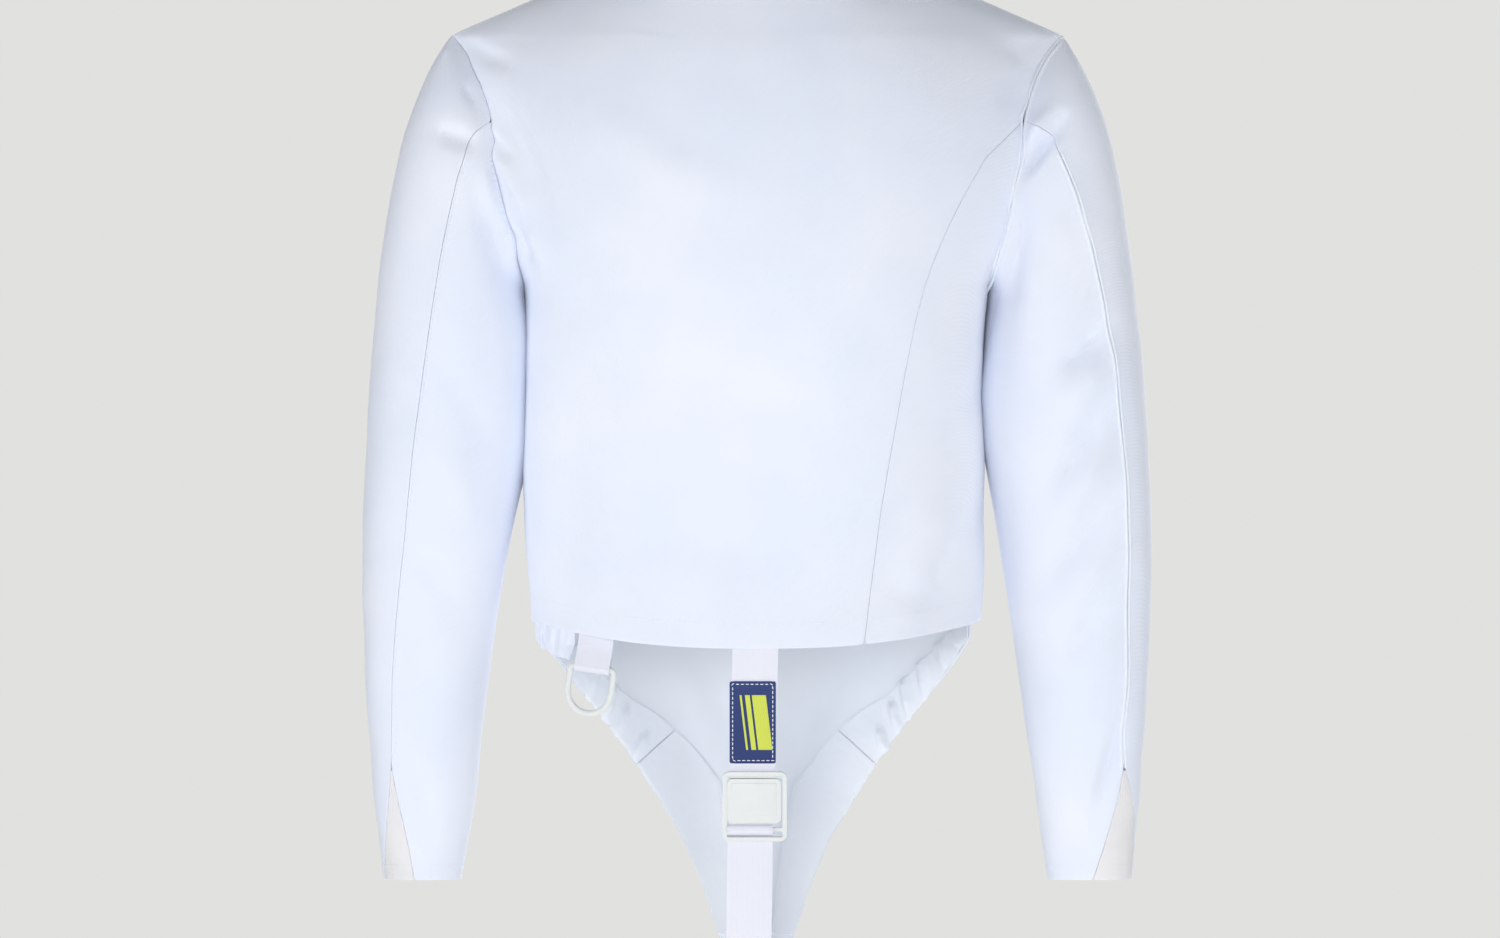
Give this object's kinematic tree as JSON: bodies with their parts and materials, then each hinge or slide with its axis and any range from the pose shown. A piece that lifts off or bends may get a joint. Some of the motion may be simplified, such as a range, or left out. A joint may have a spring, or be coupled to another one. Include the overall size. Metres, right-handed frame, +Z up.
{
  "type": "fencing jacket",
  "caption": "White long-sleeved fencing jacket, worn and empty: one shaped back seam, hidden front zip, pointed front flap, buckled crotch strap and a D-ring on the back hem.",
  "frame": {"origin": "midway between the two shoulder tips, at their height, where the wearer's shoulders carry the jacket", "axes": "+Z up, the wearer faces -Y, the wearer's left is +X"},
  "size_m": [0.596, 0.2608, 0.8501],
  "materials": {
    "white_twill": "matt tight twill",
    "elastic_rib": "matt ribbed elastic",
    "white_webbing": "matt woven webbing",
    "navy_label": "woven label",
    "white_plastic": "moulded, satin",
    "coated_zinc": "white coating"
  },
  "bodies": {
    "jacket": {"back_panel": "white_twill", "side_back_panel": "white_twill", "front_panel": "white_twill", "front_side_panel": "white_twill", "collar": "white_twill", "sleeve_top_left": "white_twill", "sleeve_top_right": "white_twill", "sleeve_under_left": "white_twill", "sleeve_under_right": "white_twill", "cuff_gusset_left": "elastic_rib", "cuff_gusset_right": "elastic_rib", "leg_band_gathered_left": "white_twill", "leg_band_gathered_right": "white_twill", "leg_band_flat_left": "white_twill", "leg_band_flat_right": "white_twill", "hem_gather_left": "white_twill", "crotch_strap_upper": "white_webbing", "crotch_strap_lower": "white_webbing", "strap_label": "navy_label", "buckle_frame": "white_plastic", "buckle_lever": "white_plastic", "dring_tab": "white_webbing", "zip_tape": "white_webbing", "zip_slider": "coated_zinc"},
    "d_ring": {"d_ring": "white_plastic"},
    "zip_pull": {"zip_pull": "coated_zinc"}
  },
  "joints": [
    {"name": "d_ring_swing", "type": "hinge", "parent": "jacket", "child": "d_ring", "pos_m": [0.1225, 0.06637, -0.4755], "axis": [0.9608, -0.2396, 0.1392], "range_deg": [-140, 135]},
    {"name": "zip_pull_swing", "type": "hinge", "parent": "jacket", "child": "zip_pull", "pos_m": [-0.04066, -0.05272, 0.04993], "axis": [-0.9505, 0.3086, 0.0363], "range_deg": [0, 150]}
  ]
}
